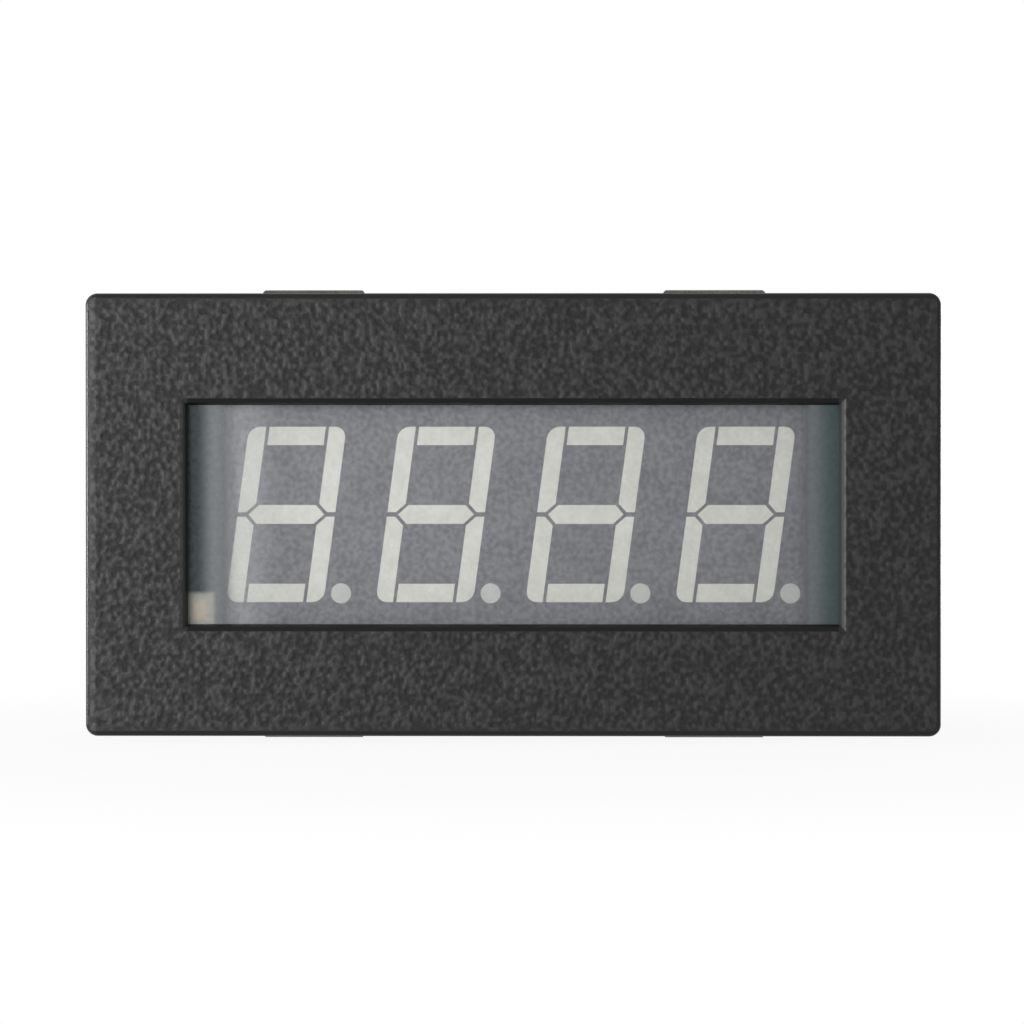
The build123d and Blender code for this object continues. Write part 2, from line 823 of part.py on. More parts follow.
# Every piece under its own name
pieces = {
    "front_case": front_case.part,
    "window_pane": window_pane.part,
    "display_housing": display_housing.part,
    "decimal_points": decimal_points.part,
    "led_board": led_board.part,
    "display_pins": display_pins.part,
    "indicator_lamp": indicator_lamp.part,
    "indicator_leads": indicator_leads.part,
    "circuit_board": circuit_board.part,
    "board_screws": board_screws.part,
    "terminal_block": terminal_block.part,
    "terminal_contacts": terminal_contacts.part,
    "controller_chip": controller_chip,
    "controller_leads": controller_leads,
    "crystal_base": crystal_base.part,
    "crystal_can": crystal_can.part,
    "capacitor_base": capacitor_base.part,
    "capacitor_can": capacitor_can.part,
    "regulator_body": regulator_body,
    "regulator_leads": regulator_leads.part,
    "digit_transistors": digit_transistors,
    "transistor_leads": transistor_leads.part,
    "input_diode": input_diode,
    "diode_tabs": diode_tabs,
    "segment_resistors": segment_resistors,
    "resistor_ends": resistor_ends,
    "bypass_capacitors": bypass_capacitors,
    "bypass_ends": bypass_ends,
    "trimmer_body": trimmer_body.part,
    "trimmer_rotor": trimmer_rotor.part,
    "trimmer_tabs": trimmer_tabs.part,
    "panel_clip_top_left": make_clip(-1, 1),
    "panel_clip_top_right": make_clip(1, 1),
    "panel_clip_bottom_left": make_clip(-1, -1),
    "panel_clip_bottom_right": make_clip(1, -1),
}
for number, digit in enumerate(digits, 1):
    pieces[f"digit_{number}_segments"] = digit
for number, x in enumerate(pole_places, 1):
    pieces[f"terminal_screw_{number}"] = make_terminal_screw(x)
    pieces[f"clamp_cage_{number}"] = make_clamp_cage(x)
for name, piece in pieces.items():
    piece.label = name
    export_step(piece, f"parts/{name}.step")
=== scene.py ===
import json
import math

import bmesh
import bpy
from mathutils import Matrix, Vector


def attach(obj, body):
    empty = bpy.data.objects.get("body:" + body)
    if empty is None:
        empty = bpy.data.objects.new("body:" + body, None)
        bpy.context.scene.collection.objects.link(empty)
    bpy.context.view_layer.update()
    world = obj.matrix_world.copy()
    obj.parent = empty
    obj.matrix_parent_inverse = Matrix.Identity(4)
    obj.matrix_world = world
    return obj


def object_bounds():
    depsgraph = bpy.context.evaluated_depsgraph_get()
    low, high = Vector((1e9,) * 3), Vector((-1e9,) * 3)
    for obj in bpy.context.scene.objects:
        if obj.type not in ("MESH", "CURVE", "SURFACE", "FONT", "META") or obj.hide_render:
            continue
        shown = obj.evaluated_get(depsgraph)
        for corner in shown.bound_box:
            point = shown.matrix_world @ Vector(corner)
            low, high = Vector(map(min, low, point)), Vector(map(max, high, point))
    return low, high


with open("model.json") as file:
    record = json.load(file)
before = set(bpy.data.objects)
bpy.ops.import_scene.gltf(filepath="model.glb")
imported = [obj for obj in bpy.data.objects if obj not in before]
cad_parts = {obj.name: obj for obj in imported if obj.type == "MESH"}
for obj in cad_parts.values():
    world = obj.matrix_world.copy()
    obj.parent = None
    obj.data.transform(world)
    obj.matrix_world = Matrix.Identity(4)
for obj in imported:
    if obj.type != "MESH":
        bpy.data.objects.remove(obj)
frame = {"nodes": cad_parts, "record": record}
cad_box = [list(corner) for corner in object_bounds()]
nodes = frame["nodes"]
scene = bpy.context.scene


def spaced(count, pitch, middle=0.0):
    """Places in a row, evenly to both sides of its middle."""
    return [middle + (index - (count - 1) / 2) * pitch for index in range(count)]


# Places and sizes of the part in millimetres: X right, Y from the front to the back, Z up
PER_METRE = 1000.0
SIDES = (-1, 1)
BEZEL_FRONT = -4.0
BEZEL_REAR = 0.0
BEZEL_HALF = (36.0, 18.65)
LIP_HALF = (28.0, 9.8)
LIP_RIM = LIP_HALF[0] - 0.3
WINDOW_END = 27.45
DISPLAY_END = 25.15
LAMP = (-26.5, -8.05)
LAMP_HALF = (1.25, 1.45)
LAMP_LEADS = [(LAMP[0], LAMP[1] + side * 0.635) for side in SIDES]
BOARD_REAR = 10.2
PIN_ROW = 7.62
PIN_COLUMNS = spaced(6, 2.54)
CHIP = (19.8, 5.2)
CHIP_LEADS = spaced(8, 1.27, CHIP[0])
CHIP_LEADS_FANNED = 5
CHIP_MARK = (CHIP[0] - 4.1, CHIP[1] - 2.7)
CHIP_LEGEND_DOT = (CHIP[0] - 5.9, CHIP[1] - 4.6)
CRYSTAL = (19.8, -3.4)
CRYSTAL_END = 5.9
CAPACITOR = (-18.5, 4.0)
CAPACITOR_GROOVE = 13.0
CAPACITOR_TOP = 20.4
REGULATOR = (-18.5, -7.0)
REGULATOR_LEAD = 2.3
DIODE = (-26.5, -2.8)
TRIMMER = (16.8, -10.2)
TRIMMER_LEAD = 1.9
TERMINALS = (0.0, -1.5)
TRANSISTORS = [(x, -11.4) for x in spaced(4, 5.0)]
TRANSISTOR_LEAD = 0.95
RESISTORS = [(x, 11.6) for x in spaced(8, 2.5)]
BYPASS = [(-26.8, 5.0), (-12.6, -12.0), (28.6, 3.6), (28.6, -4.0)]
BOARD_SCREWS = [(-29.2, 11.7), (29.2, -11.7)]

# What lies on the back of the board: thicknesses, widths, and profiles of (radius, level)
PAD_THICK = 0.04
PAD_DRAW = 0.06
TRACK_THICK = 0.02
CHIP_TRACK = 0.26
SIGNAL_TRACK = 0.3
PIN_TRACK = 0.36
DIGIT_TRACK = 0.42
BYPASS_TRACK = 0.5
GROUND_TRACK = 0.8
SUPPLY_TRACK = 0.9
TAB_TRACK = 1.6
MITRE_LEAST = 0.4
LEGEND_THICK = 0.03
LEGEND_LINE = 0.16
PIN_JOINT = [
    (0.98, 0.0), (0.95, 0.05), (0.72, 0.16), (0.54, 0.34), (0.43, 0.6), (0.38, 0.88), (0.30, 0.96)
]
LAMP_JOINT = [(radius * 0.62, level) for radius, level in PIN_JOINT]
SCREW_LAND = [(2.45, 0.0), (2.45, 0.02), (2.4, 0.03)]
PLATED_HOLE = [(0.36, 0.0), (0.36, 0.03), (0.31, 0.05), (0.18, 0.05), (0.15, 0.01)]
LEGEND_DOT = [(0.32, 0.0), (0.32, 0.02), (0.3, 0.03)]

# The span in which most of a noise lies, and plain white
NOISE_MIDDLE = (0.3, 0.7)
WHITE = (1.0, 1.0, 1.0, 1.0)


def rgb(red, green, blue):
    """A screen colour, 0 to 255, as the linear colour that a socket takes."""
    linear = [
        value / 12.92 if value <= 0.04045 else ((value + 0.055) / 1.055) ** 2.4
        for value in (red / 255, green / 255, blue / 255)
    ]
    return (*linear, 1.0)


class Shade:
    """A socket in a finish, with arithmetic on values that adds Math nodes."""

    def __init__(self, finish, socket):
        self.finish = finish
        self.socket = socket

    def maths(self, operation, *values):
        return self.finish.add("Math", {"operation": operation}, dict(enumerate(values)))

    def __add__(self, other):
        return self.maths("ADD", self, other)

    def __sub__(self, other):
        return self.maths("SUBTRACT", self, other)

    def __rsub__(self, other):
        return self.maths("SUBTRACT", other, self)

    def __mul__(self, other):
        return self.maths("MULTIPLY", self, other)

    def __lt__(self, other):
        return self.maths("LESS_THAN", self, other)

    def __gt__(self, other):
        return self.maths("GREATER_THAN", self, other)

    def __abs__(self):
        return self.maths("ABSOLUTE", self)

    def higher(self, other):
        return self.maths("MAXIMUM", self, other)


class Wiring:
    """A node tree of a material or the world, with one way to add a node."""

    def __init__(self, owner):
        owner.use_nodes = True
        self.tree = owner.node_tree
        self.tree.nodes.clear()

    def add(self, kind, settings=None, sockets=None, output=0):
        node = self.tree.nodes.new("ShaderNode" + kind)
        for name, value in (settings or {}).items():
            setattr(node, name, value)
        for key, value in (sockets or {}).items():
            if isinstance(value, Shade):
                self.tree.links.new(value.socket, node.inputs[key])
            else:
                node.inputs[key].default_value = value
        return Shade(self, node.outputs[output]) if node.outputs else None

    def seen(self):
        """One for what the camera sees straight on, in a mirror or through glass."""
        rays = ("Camera", "Glossy", "Transmission")
        straight, mirrored, through = (
            self.add("LightPath", output=f"Is {ray} Ray") for ray in rays
        )
        return straight.higher(mirrored).higher(through)


class Finish(Wiring):
    """A procedural finish, laid out in millimetres in the part's own frame."""

    def __init__(self, name):
        self.material = bpy.data.materials.new(name)
        super().__init__(self.material)
        held = self.add("TexCoord", output="Object")
        self.place = self.add("VectorMath", {"operation": "SCALE"}, {0: held, "Scale": PER_METRE})
        self.x, self.y, self.z = (
            self.add("SeparateXYZ", {}, {0: self.place}, axis) for axis in range(3)
        )

    def noise(self, scale, detail=2.0, roughness=0.5, stretch=(1, 1, 1)):
        """Noise with so many grains to the millimetre, closer together along a stretched axis."""
        spread = self.add("VectorMath", {"operation": "MULTIPLY"}, {0: self.place, 1: stretch})
        sockets = {"Vector": spread, "Scale": scale, "Detail": detail, "Roughness": roughness}
        return self.add("TexNoise", {}, sockets)

    def ease(self, value, span, onto=(0.0, 1.0)):
        """Takes a value from one span onto another, with soft ends."""
        sockets = dict(enumerate((value, *span, *onto)))
        return self.add("MapRange", {"interpolation_type": "SMOOTHSTEP"}, sockets)

    def even(self, noise, onto=(0.0, 1.0)):
        """Takes the middle of a noise onto a span."""
        return self.ease(noise, NOISE_MIDDLE, onto)

    def blend(self, one, two, share):
        """Two noises together, the first with the given share."""
        return self.even(one) * share + self.even(two) * (1.0 - share)

    def mix(self, share, one, two):
        return self.add("Mix", {"data_type": "RGBA"}, {0: share, 6: one, 7: two}, 2)

    def bump(self, height, depth, strength=1.0):
        sockets = {"Height": height, "Distance": depth / PER_METRE, "Strength": strength}
        return self.add("Bump", {}, sockets)

    def away(self, x, z):
        """Distance in the plane of the panel from a point."""
        flat = self.add("CombineXYZ", {}, {0: self.x, 2: self.z})
        return self.add("VectorMath", {"operation": "DISTANCE"}, {0: flat, 1: (x, 0, z)}, "Value")

    def past(self, half, middle=(0.0, 0.0)):
        """Distance past a rectangle in the plane of the panel, less than 0 inside it."""
        aside, along = abs(self.x - middle[0]), abs(self.z - middle[1])
        return (aside - half[0]).higher(along - half[1])

    def surface(self, sockets):
        shader = self.add("BsdfPrincipled", {}, sockets)
        self.add("OutputMaterial", {}, {0: shader})
        return self.material


def moulded_black():
    """Black ABS: a spark-eroded bezel, finer grain elsewhere, polished edges painted darker as
    shade, and a window lip painted dark as shade, with painted light at its ends and rim.
    """
    made = Finish("moulded_black")
    reach = abs(made.x)
    pits = made.noise(scale=2.15, detail=0.5)
    fine = made.noise(scale=6.0, roughness=0.6)
    bezel = made.ease(made.y, (BEZEL_REAR + 0.05, BEZEL_REAR - 0.05))
    front = made.ease(made.y, (BEZEL_FRONT + 0.7, BEZEL_FRONT + 0.3))

    # The window's lip, painted dark as the shade in its recess, paler at its ends as painted light
    # on the side walls, with a painted highlight on the rim there
    lip = bezel * made.ease(made.past(LIP_HALF), (0.03, -0.03))
    ends = lip * made.ease(reach, (WINDOW_END - 0.08, WINDOW_END))
    patchy = made.ease(pits, (0.34, 0.62), (0.3, 1.0))
    lit_side = made.ease(made.x, (-27.0, 27.0), (0.95, 0.7))
    # A painted highlight on the lip's rim at its ends, stronger at the left
    painted_rim_highlight = patchy * lit_side * ends * made.ease(reach, (LIP_RIM + 0.09, LIP_RIM + 0.15))

    # The outer edges: polished, with their colour painted darker as shade, free of grain, and
    # rounder at the left
    outer = made.past((BEZEL_HALF[0], BEZEL_HALF[1] - 0.1))
    edge_polish_and_shade = front * made.ease(outer, (-0.44, -0.32))
    rounded = front * made.ease(made.x, (0.95 - BEZEL_HALF[0], 0.2 - BEZEL_HALF[0]))

    # The grain, weaker on the bezel's sides than on its front
    side_share = 0.3
    grained = bezel * (front * (1.0 - side_share) + side_share) * (1.0 - lip)
    relief = grained * made.ease(outer, (-0.45, -0.9)) * (pits - 0.5)
    height = relief + fine * 0.03 - rounded * 1.3

    # The grain's colour: random tone, darker in the pits and lighter on the peaks as painted shade
    speckle = grained * made.ease(pits, (0.32, 0.8), (-0.34, 0.66))
    shade = made.ease(fine, (0.2, 0.8), (0.4, 0.6)) + speckle
    grain_and_pit_shade = made.mix(shade, rgb(21, 21, 22), rgb(54, 54, 54))
    # Painted shade: the polished outer edges take a darker colour
    moulded = made.mix(edge_polish_and_shade, grain_and_pit_shade, rgb(20, 20, 21))
    # Painted shade on the lip's walls, with painted light on its end walls
    painted_lip_shade_and_light = made.mix(ends, rgb(8, 8, 9), rgb(44, 44, 45))
    return made.surface(
        {
            "Base Color": made.mix(painted_rim_highlight, made.mix(lip, moulded, painted_lip_shade_and_light), rgb(80, 79, 76)),
            "Roughness": made.ease(shade, (0.0, 1.0), (0.62, 0.5)) - edge_polish_and_shade * 0.28,
            "Specular IOR Level": 0.25,
            "Normal": made.bump(height, depth=0.155),
        }
    )


def matt_pane():
    """Clear acrylic with a matt face, sprayed ends fading into painted shade, milky over the lamp,
    and hazier and paler at the left as painted light.
    """
    made = Finish("matt_pane")
    reach = abs(made.x)
    left = made.x < 0.0
    speckle = made.noise(scale=2.4, detail=1.0)

    # Grey spray past the display's ends, which starts further in at the left; it fades towards the
    # walls into painted shade, deeper at the left as a painted shadow, and is paler at the left as
    # painted light over the display's shaded end
    inner = DISPLAY_END - 0.9 - left * 0.7
    past_end = made.ease(reach, (inner, DISPLAY_END))
    spray = past_end * made.even(speckle, (0.8, 0.88))
    fade = made.ease(reach, (left * 0.15 + DISPLAY_END - 0.1, WINDOW_END - 0.4 - left * 0.3))
    # Paler at the left as painted light over the display's shaded end
    pale = made.mix(left, rgb(99, 104, 106), rgb(110, 114, 116))
    # Painted shade towards the walls, deeper at the left as a painted shadow
    painted_end_shade = made.mix(left, rgb(54, 69, 71), rgb(16, 33, 37))
    spray_and_painted_shade = made.mix(fade, pale, painted_end_shade)

    # The matt face's thin haze, denser and paler next to the left end as painted light over the
    # display's shaded end
    # Painted light: a paler, denser veil over the display's shaded left end
    left_painted_light = left * made.ease(reach, (DISPLAY_END - 6.6, DISPLAY_END - 1.6))
    film_and_left_light = made.even(speckle, (0.04, 0.08)) * (left_painted_light * (1.0 - past_end) * 1.9 + 1.0)
    haze_and_left_light = made.mix(left_painted_light, rgb(150, 152, 156), rgb(200, 202, 205))
    grey = made.mix(made.ease(reach, (inner - 0.6, inner + 0.6 + left * 0.35)), haze_and_left_light, spray_and_painted_shade)

    # The milky field over the lamp, warmer over its cup
    from_lamp = made.past(LAMP_HALF, LAMP)
    milky = made.ease(from_lamp, (0.25, -0.35))
    cup = made.ease(from_lamp, (-0.3, -1.0))
    milk = made.mix(cup, rgb(178, 180, 172), rgb(206, 193, 178))

    haze = film_and_left_light + spray * (1.0 - milky) + milky * 0.55
    shadow = made.add("LightPath", output="Is Shadow Ray")
    return made.surface(
        {
            "Base Color": made.mix(milky, grey, milk),
            "Roughness": 0.5,
            "Alpha": haze * (1.0 - shadow),
            "Normal": made.bump(speckle, depth=0.01, strength=0.4),
        }
    )


def display_face():
    """Grey reflector block with a fine mottle on its face."""
    made = Finish("display_face")
    mottle = made.noise(scale=2.2, detail=1.0)
    cloud = made.noise(scale=0.35)
    shade = made.ease(mottle, (0.28, 0.72)) * 0.75 + made.even(cloud) * 0.25
    return made.surface(
        {
            "Base Color": made.mix(shade, rgb(104, 105, 109), rgb(133, 134, 138)),
            "Roughness": 0.6,
            "Specular IOR Level": 0.3,
            "Normal": made.bump(mottle, depth=0.01, strength=0.5),
        }
    )


def cast_epoxy(name, dark, light):
    """Milky epoxy, a little uneven."""
    made = Finish(name)
    cloud = made.noise(scale=0.7)
    speckle = made.noise(scale=4.5, roughness=0.7)
    return made.surface(
        {
            "Base Color": made.mix(made.blend(cloud, speckle, share=0.7), dark, light),
            "Roughness": made.even(cloud, (0.4, 0.52)),
            "Specular IOR Level": 0.35,
            "Normal": made.bump(speckle, depth=0.006, strength=0.4),
        }
    )


def plain_laminate(name, dark, light):
    """Glass laminate with a faint weave."""
    made = Finish(name)
    waves = {"Vector": made.place, "Scale": 1.1, "Distortion": 0.4}
    warp, weft = (made.add("TexWave", {"bands_direction": way}, waves, 1) for way in "XZ")
    cloud = made.noise(scale=0.3, detail=3.0, roughness=0.6)
    cloth = warp * 0.3 + weft * 0.3 + made.even(cloud) * 0.4
    return made.surface(
        {
            "Base Color": made.mix(cloth, dark, light),
            "Roughness": made.even(cloud, (0.25, 0.4)),
            "Normal": made.bump(cloth, depth=0.01, strength=0.3),
        }
    )


def bright_metal(name, dark, light, rough, scale=3.0, stretch=(1, 1, 1)):
    """Plated or drawn metal with fine marks along one direction."""
    made = Finish(name)
    marks = made.noise(scale, stretch=stretch)
    cloud = made.noise(scale=0.5)
    return made.surface(
        {
            "Base Color": made.mix(made.blend(marks, cloud, share=0.7), dark, light),
            "Metallic": 1.0,
            "Roughness": made.even(marks, (rough - 0.02, rough + 0.03)),
            "Normal": made.bump(marks, depth=0.01, strength=0.1),
        }
    )


def package_black():
    """Moulded chip package: matt black, sand-grained, with a round mark by the first lead."""
    made = Finish("package_black")
    grain = made.noise(scale=9.0, roughness=0.6)
    mark = made.ease(made.away(*CHIP_MARK), (0.55, 0.42))
    colour = made.mix(made.even(grain), rgb(30, 30, 31), rgb(46, 46, 47))
    return made.surface(
        {
            "Base Color": made.mix(mark * 0.5, colour, rgb(66, 66, 66)),
            "Roughness": made.even(grain, (0.5, 0.66)),
            "Normal": made.bump(grain * 0.4 - mark * 3.0, depth=0.03, strength=0.8),
        }
    )


def capacitor_can():
    """Drawn aluminium can: a rolled groove and a scored vent, both darkened as painted shade, and a
    dark polarity field on top.
    """
    made = Finish("capacitor_can")
    streaks = made.noise(scale=2.5, detail=4.0, roughness=0.6, stretch=(3.0, 0.15, 3.0))
    aside, along = made.x - CAPACITOR[0], made.z - CAPACITOR[1]
    top = made.ease(made.y, (CAPACITOR_TOP - 0.06, CAPACITOR_TOP - 0.02))
    field = top * (aside > 2.0)
    score = (0.16, 0.05)
    cross = made.ease(abs(aside), score).higher(made.ease(abs(along), score))
    vent = cross * (made.away(*CAPACITOR) < 2.9) * top
    groove = made.ease(abs(made.y - CAPACITOR_GROOVE), (0.55, 0.05))
    metal = made.mix(made.even(streaks), rgb(196, 197, 199), rgb(226, 227, 228))
    # Painted shade darkens the rolled groove and the vent's scores
    groove_and_vent_shade = made.mix(vent.higher(groove) * 0.45, metal, rgb(120, 121, 123))
    height = streaks * 0.006 - vent * 0.5 - groove * 1.6
    return made.surface(
        {
            "Base Color": made.mix(field, groove_and_vent_shade, rgb(34, 34, 38)),
            "Metallic": 1.0 - field,
            "Roughness": made.even(streaks, (0.34, 0.38)),
            "Normal": made.bump(height, depth=0.3, strength=0.9),
        }
    )


def moulded_colour(name, dark, light, rough, scale=6.0, depth=0.02):
    """Moulded plastic in one colour, with a fine grain and a little unevenness."""
    made = Finish(name)
    grain = made.noise(scale, roughness=0.6)
    cloud = made.noise(scale=0.4)
    return made.surface(
        {
            "Base Color": made.mix(made.blend(grain, cloud, share=0.5), dark, light),
            "Roughness": made.even(grain, (rough - 0.06, rough + 0.08)),
            "Normal": made.bump(grain, depth, strength=0.5),
        }
    )


tinned = bright_metal("tinned", rgb(190, 192, 194), rgb(216, 217, 216), 0.36)
dull_solder = moulded_colour(
    "dull_solder", rgb(150, 152, 154), rgb(178, 180, 181), 0.34, scale=2.0, depth=0.008
)
mask_over_copper = plain_laminate("mask_over_copper", rgb(20, 96, 74), rgb(28, 110, 84))
legend_white = moulded_colour("legend_white", rgb(214, 216, 210), rgb(232, 233, 228), 0.6)
finishes = {
    "case_black": moulded_black(),
    "pane": matt_pane(),
    "display_grey": display_face(),
    "segment_epoxy": cast_epoxy("segment_epoxy", rgb(209, 210, 202), rgb(220, 221, 213)),
    "lamp_epoxy": cast_epoxy("lamp_epoxy", rgb(178, 170, 154), rgb(196, 184, 166)),
    "led_board_white": plain_laminate("white_laminate", rgb(206, 206, 192), rgb(224, 223, 210)),
    "board_green": plain_laminate("green_mask", rgb(10, 66, 52), rgb(16, 80, 62)),
    "tin": tinned,
    "screw_steel": bright_metal(
        "plated_steel", rgb(176, 176, 172), rgb(214, 213, 206), 0.32, scale=4.0, stretch=(1, 0.2, 1)
    ),
    "spring_steel": bright_metal(
        "spring_steel", rgb(66, 66, 61), rgb(104, 104, 96), 0.42, scale=2.0, stretch=(4, 0.2, 4)
    ),
    "package_black": package_black(),
    "can_metal": bright_metal(
        "drawn_can", rgb(196, 197, 198), rgb(218, 219, 219), 0.34, scale=2.0, stretch=(3, 0.2, 3)
    ),
    "terminal_grey": moulded_colour("terminal_grey", rgb(150, 154, 153), rgb(166, 170, 168), 0.5),
    "ceramic_tan": moulded_colour("ceramic_tan", rgb(168, 142, 112), rgb(190, 164, 132), 0.45),
    "resistor_glaze": moulded_colour("resistor_glaze", rgb(30, 30, 34), rgb(44, 44, 48), 0.3),
    "trimmer_blue": moulded_colour("trimmer_blue", rgb(24, 78, 156), rgb(34, 92, 174), 0.36),
    "rotor_white": moulded_colour("rotor_white", rgb(226, 224, 214), rgb(240, 238, 230), 0.45),
}
own_finish = {
    "capacitor_can": capacitor_can(),
    "decimal_points": cast_epoxy("point_epoxy", rgb(187, 190, 187), rgb(197, 200, 196)),
}
for part in frame["record"]["subparts"]:
    shown = nodes[part["node"]]
    shown.data.materials.clear()
    shown.data.materials.append(own_finish.get(part["node"], finishes[part["material_slot"]]))


def add_piece(name, shape, finish, sharp=35):
    """A new piece of the object from a mesh in millimetres, riding on the meter."""
    mesh = bpy.data.meshes.new(name)
    bmesh.ops.recalc_face_normals(shape, faces=shape.faces)
    shape.to_mesh(mesh)
    shape.free()
    mesh.transform(Matrix.Scale(1 / PER_METRE, 4))
    mesh.shade_smooth()
    mesh.set_sharp_from_angle(angle=math.radians(sharp))
    mesh.materials.append(finish)
    piece = bpy.data.objects.new(name, mesh)
    scene.collection.objects.link(piece)
    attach(piece, "meter")


def rectangle(half_width, half_height, x=0.0, z=0.0):
    """Corners of a rectangle in order round its middle."""
    turns = ((-1, -1), (1, -1), (1, 1), (-1, 1))
    return [(x + a * half_width, z + b * half_height) for a, b in turns]


def on_board(shape, x, z, level):
    """A vertex at a level over the back of the board."""
    return shape.verts.new((x, BOARD_REAR + level, z))


def skin(shape, rows):
    """Joins rows of vertices, each a closed outline, and shuts the first and the last."""
    for low, high in zip(rows, rows[1:]):
        for step in range(len(low)):
            after = (step + 1) % len(low)
            shape.faces.new((low[step], low[after], high[after], high[step]))
    shape.faces.new(rows[0])
    shape.faces.new(rows[-1])


def revolve_at(shape, x, z, profile, steps=20):
    """Turns a profile of (radius, level) about an axis along Y through a point of the board."""
    turns = [2 * math.pi * step / steps for step in range(steps)]
    rows = []
    for radius, level in profile:
        ring = [(x + radius * math.cos(turn), z + radius * math.sin(turn)) for turn in turns]
        rows.append([on_board(shape, *point, level) for point in ring])
    skin(shape, rows)


def slab(shape, x, z, width, height):
    """A flat pad on the back of the board, with its upper edges drawn in."""
    draw = min(PAD_DRAW, width / 5, height / 5)
    rows = []
    for inset, level in ((0, 0.0), (0, PAD_THICK / 2), (draw, PAD_THICK)):
        outline = rectangle(width / 2 - inset, height / 2 - inset, x, z)
        rows.append([on_board(shape, *point, level) for point in outline])
    skin(shape, rows)


def ribbon(shape, points, width, thickness):
    """A track of even width along points on the back of the board, mitred at its bends."""
    path = [Vector(point) for point in points]
    rows = []
    for index, point in enumerate(path):
        before = (point - path[index - 1]).normalized() if index else (path[1] - point).normalized()
        after = (path[index + 1] - point).normalized() if index + 1 < len(path) else before
        way = (before + after).normalized()
        across = Vector((-way.y, way.x)) * (width / 2 / max(way.dot(before), MITRE_LEAST))
        left, right = point + across, point - across
        outline = ((left, 0), (left, thickness), (right, thickness), (right, 0))
        rows.append([on_board(shape, *flat, level) for flat, level in outline])
    skin(shape, rows)


# Solder joints round the display's pins and the lamp's leads, concave up to the metal
solder = bmesh.new()
for pin_x in PIN_COLUMNS:
    for side in SIDES:
        revolve_at(solder, pin_x, side * PIN_ROW, PIN_JOINT)
for lead_x, lead_z in LAMP_LEADS:
    revolve_at(solder, lead_x, lead_z, LAMP_JOINT)
add_piece("pin_solder", solder, dull_solder, sharp=60)


def pair(aside, along, width, height):
    """Two pads, one on each side of a part's middle."""
    return [(side * aside, side * along, width, height) for side in SIDES]


def triple(aside, along, width, height):
    """Three pads, one above a part's middle and two below it."""
    return [(x, z, width, height) for x, z in ((0, along), (-aside, -along), (aside, -along))]


# Tinned pads under the leads: places of the parts, then pads from there as (x, z, width, height)
pads_of_parts = [
    ([(lead_x, CHIP[1]) for lead_x in CHIP_LEADS], pair(0, 4.85, 0.66, 1.5)),
    ([REGULATOR], [(shift, -3.0, 1.1, 1.7) for shift in (-REGULATOR_LEAD, 0, REGULATOR_LEAD)]),
    ([REGULATOR], [(0, 3.0, 3.5, 1.7)]),
    (TRANSISTORS, triple(TRANSISTOR_LEAD, 1.12, 0.7, 0.8)),
    ([DIODE], pair(0, 2.85, 1.8, 1.2)),
    (RESISTORS + BYPASS, pair(0, 1.05, 1.4, 0.9)),
    ([CRYSTAL], pair(CRYSTAL_END, 0, 1.5, 1.1)),
    ([CAPACITOR], pair(0, 4.4, 1.3, 1.9)),
    ([TRIMMER], triple(TRIMMER_LEAD, 3.7, 1.4, 0.9)),
]
lands = bmesh.new()
for places, pads in pads_of_parts:
    for x, z in places:
        for aside, along, width, height in pads:
            slab(lands, x + aside, z + along, width, height)
for x, z in BOARD_SCREWS:
    revolve_at(lands, x, z, SCREW_LAND, steps=32)
add_piece("board_pads", lands, tinned)

# Tracks under the solder mask, and the plated holes, in which some of them end
tracks = bmesh.new()
holes = [
    (-12.6, 6.8), (-12.6, -8.4), (12.6, 8.6), (26.4, -8.2), (-30.4, 2.0),
    (30.2, 8.0), (-24.6, 10.4), (-22.4, 11.6), (25.8, -12.6), (22.4, -9.6),
]


def track(points, width, hole=False):
    """A track along points (x, z), with a plated hole at its end where one is wanted."""
    ribbon(tracks, points, width, TRACK_THICK)
    if hole:
        holes.append(points[-1])


# From the display's upper pins to the resistors, and from these to holes
for pin_x, (x, _) in zip(PIN_COLUMNS, RESISTORS[1:]):
    track([(pin_x, PIN_ROW), (pin_x, 8.6), (x, 9.6), (x, 10.6)], PIN_TRACK)
for x, _ in RESISTORS:
    track([(x, 12.6), (x, 13.7)], SIGNAL_TRACK, hole=True)

# From the chip's leads, some of them fanned out to a row of holes
for index, lead_x in enumerate(CHIP_LEADS):
    track([(lead_x, 0.4), (lead_x, -1.4)], CHIP_TRACK)
    if index < CHIP_LEADS_FANNED:
        level = 11.6 + 0.55 * index
        bend = [(lead_x, 10.0), (lead_x, level - 0.6), (lead_x - 0.6, level)]
        track([*bend, (10.7 + 0.9 * index, level)], CHIP_TRACK, hole=True)

# From the display's lower pins to the transistors
for pin_x, (x, z) in zip(PIN_COLUMNS[1:], TRANSISTORS):
    track([(pin_x, -PIN_ROW), (pin_x, -8.7), (x, -9.5), (x, z + 1.1)], DIGIT_TRACK)
    near, far = x - TRANSISTOR_LEAD, x + TRANSISTOR_LEAD
    track([(near, z - 1.1), (near, -13.2), (far, -13.2), (far, z - 1.1)], SIGNAL_TRACK)

# From both ends of the crystal to the chip
for side in SIDES:
    bends = [(CRYSTAL_END, CRYSTAL[1]), (6.9, -2.4), (6.9, -0.3), (6.5, 0.1), (4.6, 0.1)]
    track([(CRYSTAL[0] + side * step, z) for step, z in bends], SIGNAL_TRACK)

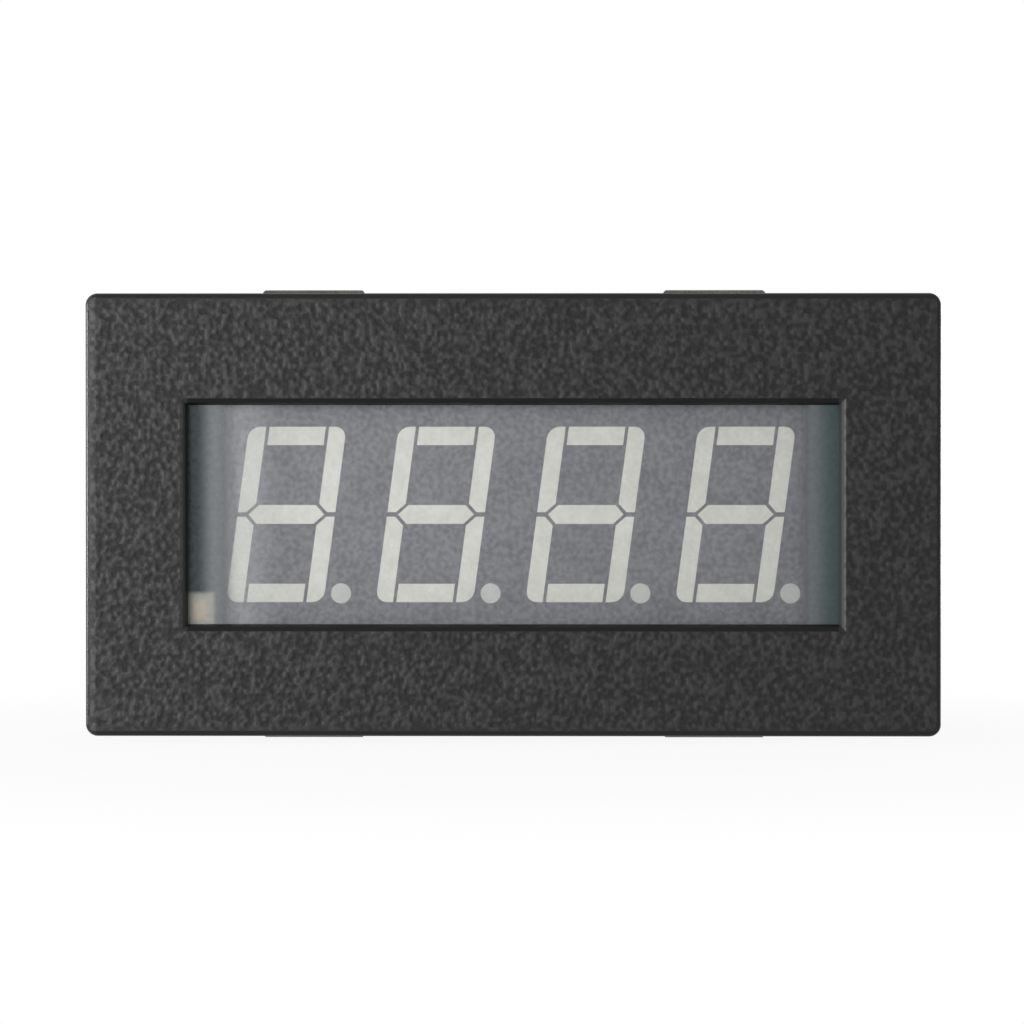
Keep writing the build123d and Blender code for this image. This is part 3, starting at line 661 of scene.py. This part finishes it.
# The supply: regulator, diode and capacitor
supply_in, supply_out = (REGULATOR[0] + side * REGULATOR_LEAD for side in SIDES)
supply_corners = [(-22.6, -13.2), (-29.6, -13.2), (-29.6, -5.6), (DIODE[0], -5.6)]
track([(REGULATOR[0], -4.0), (REGULATOR[0], -0.6)], TAB_TRACK)
track([(supply_in, -10.0), (supply_in, -11.4), *supply_corners], SUPPLY_TRACK)
track([(supply_out, -10.0), (supply_out, -11.6), (-15.0, -12.8), (-12.6, -13.0)], GROUND_TRACK)
input_corners = [(-24.6, 2.9), (-24.6, 8.4), (CAPACITOR[0], 8.4)]
track([(DIODE[0], 0.1), (DIODE[0], 1.4), *input_corners], SUPPLY_TRACK)

# From the lamp's leads, the trimmer and a bypass capacitor
track([(LAMP[0], -7.4), (-25.2, -7.4), (-24.2, -8.4)], PIN_TRACK, hole=True)
lamp_corners = [(-25.6, -11.1), (-24.2, -11.1)]
track([(LAMP[0], -8.7), (LAMP[0], -10.2), *lamp_corners], PIN_TRACK, hole=True)
trimmer_corners = [(12.9, -6.35), (12.2, -7.05), (12.2, -8.4)]
track([(TRIMMER[0], -6.35), *trimmer_corners], SIGNAL_TRACK, hole=True)
track([(28.6, 4.7), (28.6, 8.4), (25.2, 11.2), (24.2, 10.1)], BYPASS_TRACK)
add_piece("board_tracks", tracks, mask_over_copper)
vias = bmesh.new()
for x, z in holes:
    revolve_at(vias, x, z, PLATED_HOLE, steps=16)
add_piece("board_vias", vias, tinned)

# White legend on the board: plain outlines round the larger pieces, as (middle, width, height)
legend = bmesh.new()
outlines = [
    (CAPACITOR, 9.4, 9.4),
    (CRYSTAL, 14.6, 5.1),
    (TERMINALS, 21.8, 9.2),
    (TRIMMER, 7.6, 7.0),
    (REGULATOR, 7.5, 4.4),
    (DIODE, 3.6, 4.9),
]
for middle, width, height in outlines:
    corners = rectangle(width / 2, height / 2, *middle)
    for start, end in zip(corners, corners[1:] + corners[:1]):
        ribbon(legend, [start, end], LEGEND_LINE, LEGEND_THICK)
revolve_at(legend, *CHIP_LEGEND_DOT, LEGEND_DOT, steps=16)
add_piece("board_legend", legend, legend_white)

# Floor, in metres, white to the camera, with a soft shadow near the meter
FLOOR_HALF = 3
FLOOR_GAP = 0.0001
floor_mesh = bpy.data.meshes.new("floor")
floor_corners = [(x, y, 0) for x, y in rectangle(FLOOR_HALF, FLOOR_HALF)]
floor_mesh.from_pydata(floor_corners, [], [(0, 1, 2, 3)])
floor = bpy.data.objects.new("floor", floor_mesh)
floor.location.z = cad_box[0][2] - FLOOR_GAP
scene.collection.objects.link(floor)
pale = Finish("pale_floor")
reach = pale.add("VectorMath", {"operation": "LENGTH"}, {0: pale.place}, "Value")
glowing = pale.seen() * pale.ease(reach, (30.0, 110.0), (0.92, 1.0))
paper = pale.add("BsdfDiffuse", {}, {"Color": (0.82, 0.82, 0.82, 1.0)})
glow = pale.add("Emission", {}, {"Color": WHITE, "Strength": 1.0})
pale.add("OutputMaterial", {}, {0: pale.add("MixShader", {}, {0: glowing, 1: paper, 2: glow})})
floor_mesh.materials.append(pale.material)

# Soft studio light: an even surround that is white to the camera, two lamps at the left, one behind
world = bpy.data.worlds.new("studio")
scene.world = world
studio = Wiring(world)
fill = studio.add("Background", {}, {"Color": WHITE, "Strength": 0.28})
white = studio.add("Background", {}, {"Color": WHITE, "Strength": 1.0})
surround = studio.add("MixShader", {}, {0: studio.seen(), 1: fill, 2: white})
studio.add("OutputWorld", {}, {0: surround})


def add_lamp(name, place, aim, size, watts):
    """A square soft lamp, in millimetres, that points at a place."""
    data = bpy.data.lights.new(name, "AREA")
    data.size = size / PER_METRE
    data.energy = watts
    lamp = bpy.data.objects.new(name, data)
    lamp.location = Vector(place) / PER_METRE
    lamp.rotation_euler = (Vector(aim) - Vector(place)).to_track_quat("-Z", "Y").to_euler()
    scene.collection.objects.link(lamp)


add_lamp("key", place=(-125, -155, 0), aim=(0, BEZEL_FRONT, 0), size=100, watts=0.37)
add_lamp("side", place=(-220, -34, 0), aim=(-BEZEL_HALF[0], 0, 0), size=80, watts=0.5)
add_lamp("back", place=(180, 320, 60), aim=(0, 10, 0), size=220, watts=1.0)

# Camera at the photograph's angle, with distance and width of the picture in millimetres
CAMERA_AWAY = 350.0
PICTURE_WIDTH = 86.1
SENSOR_WIDTH = 36
aside, above = math.radians(0.7), math.radians(0.6)
aim = Vector((-0.07, BEZEL_FRONT, 0.24))
level_reach = math.cos(above)
back = Vector((math.sin(aside) * level_reach, -math.cos(aside) * level_reach, math.sin(above)))
lens = bpy.data.cameras.new("camera")
lens.sensor_width = SENSOR_WIDTH
lens.lens = SENSOR_WIDTH * CAMERA_AWAY / PICTURE_WIDTH
lens.clip_start = 0.01
camera = bpy.data.objects.new("camera", lens)
camera.location = (aim + back * CAMERA_AWAY) / PER_METRE
camera.rotation_euler = (-back).to_track_quat("-Z", "Y").to_euler()
scene.collection.objects.link(camera)
scene.camera = camera
scene.view_settings.view_transform = "Standard"
